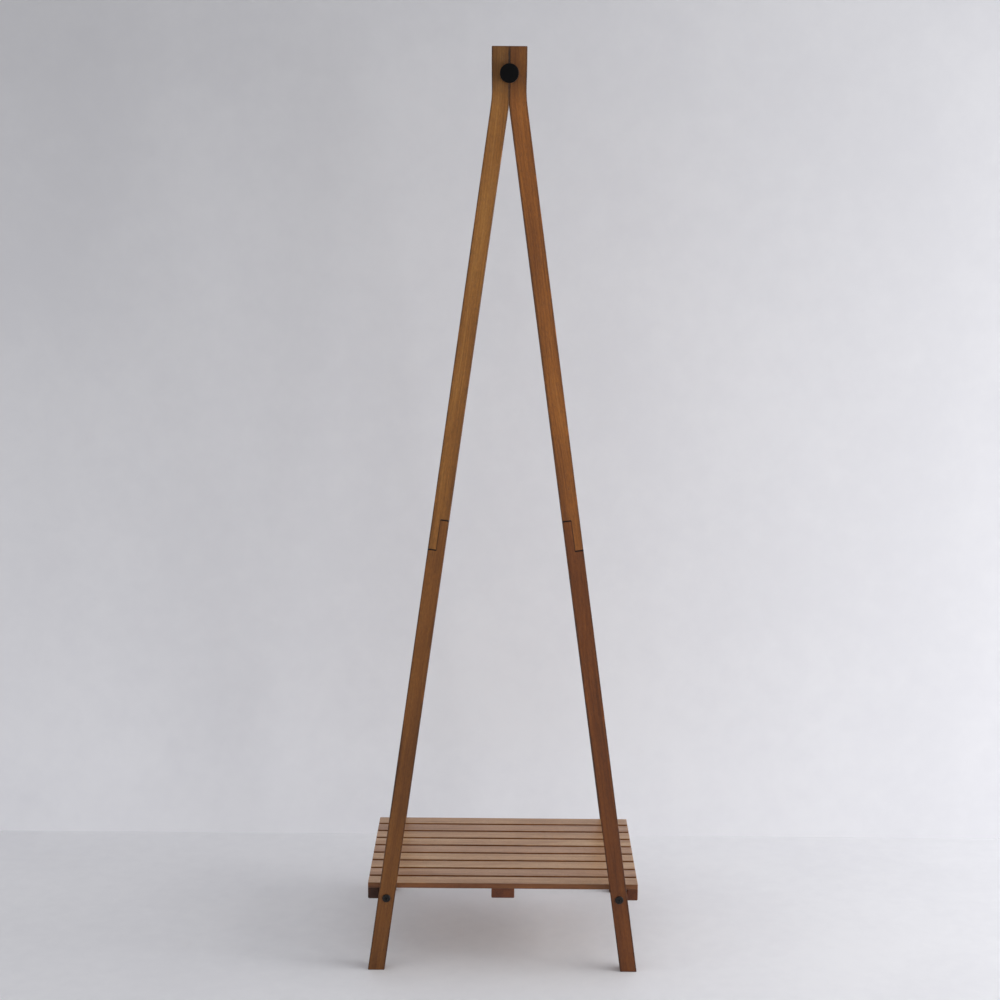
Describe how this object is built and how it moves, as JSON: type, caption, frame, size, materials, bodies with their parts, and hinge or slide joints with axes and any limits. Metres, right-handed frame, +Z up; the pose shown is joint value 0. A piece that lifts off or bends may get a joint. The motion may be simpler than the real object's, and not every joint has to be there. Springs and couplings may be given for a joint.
{
  "type": "standing coat rack",
  "caption": "Standing coat rack with two wooden A-frames, a black steel hanging rail between their tops and a slatted lift-off shelf near the floor.",
  "frame": {"origin": "on the floor, under the centre of the rack", "axes": "+X to the right across the A-frames, +Y along the hanging rail from the near A-frame to the far one, +Z up"},
  "size_m": [0.494, 0.44, 1.65],
  "materials": {
    "upper_leg_wood": "satin oiled golden brown hardwood",
    "lower_leg_wood": "satin oiled brown hardwood",
    "slat_wood": "satin oiled brown hardwood",
    "batten_wood": "satin oiled brown hardwood",
    "dowel_wood": "raw beech",
    "rail_steel": "matte black powder coat",
    "cap_plastic": "matte black moulded",
    "black_fastener": "satin black oxide",
    "zinc_steel": "zinc plated"
  },
  "bodies": {
    "frame": {"near_left_upper_leg": "upper_leg_wood", "near_right_upper_leg": "upper_leg_wood", "far_left_upper_leg": "upper_leg_wood", "far_right_upper_leg": "upper_leg_wood", "near_left_lower_leg": "lower_leg_wood", "near_right_lower_leg": "lower_leg_wood", "far_left_lower_leg": "lower_leg_wood", "far_right_lower_leg": "lower_leg_wood", "hanging_rail": "rail_steel", "near_rail_end_cap": "cap_plastic", "far_rail_end_cap": "cap_plastic", "rail_cross_bolts": "black_fastener", "rail_sleeve_nuts": "black_fastener", "seam_dowels": "dowel_wood", "lap_bolts": "black_fastener", "lap_sleeve_nuts": "black_fastener", "left_stretcher": "lower_leg_wood", "right_stretcher": "lower_leg_wood", "stretcher_bolts": "black_fastener", "stretcher_barrel_nuts": "zinc_steel", "stretcher_dowels": "dowel_wood"},
    "shelf": {"slat_1": "slat_wood", "slat_2": "slat_wood", "slat_3": "slat_wood", "slat_4": "slat_wood", "slat_5": "slat_wood", "slat_6": "slat_wood", "slat_7": "slat_wood", "slat_8": "slat_wood", "slat_9": "slat_wood", "left_batten": "batten_wood", "centre_batten": "batten_wood", "right_batten": "batten_wood", "side_batten_screws": "zinc_steel", "centre_batten_screws": "zinc_steel"}
  },
  "joints": [
    {"name": "shelf_lift", "type": "slide", "parent": "frame", "child": "shelf", "axis": [0, 0, 1], "range_m": [0, 0.3]}
  ]
}
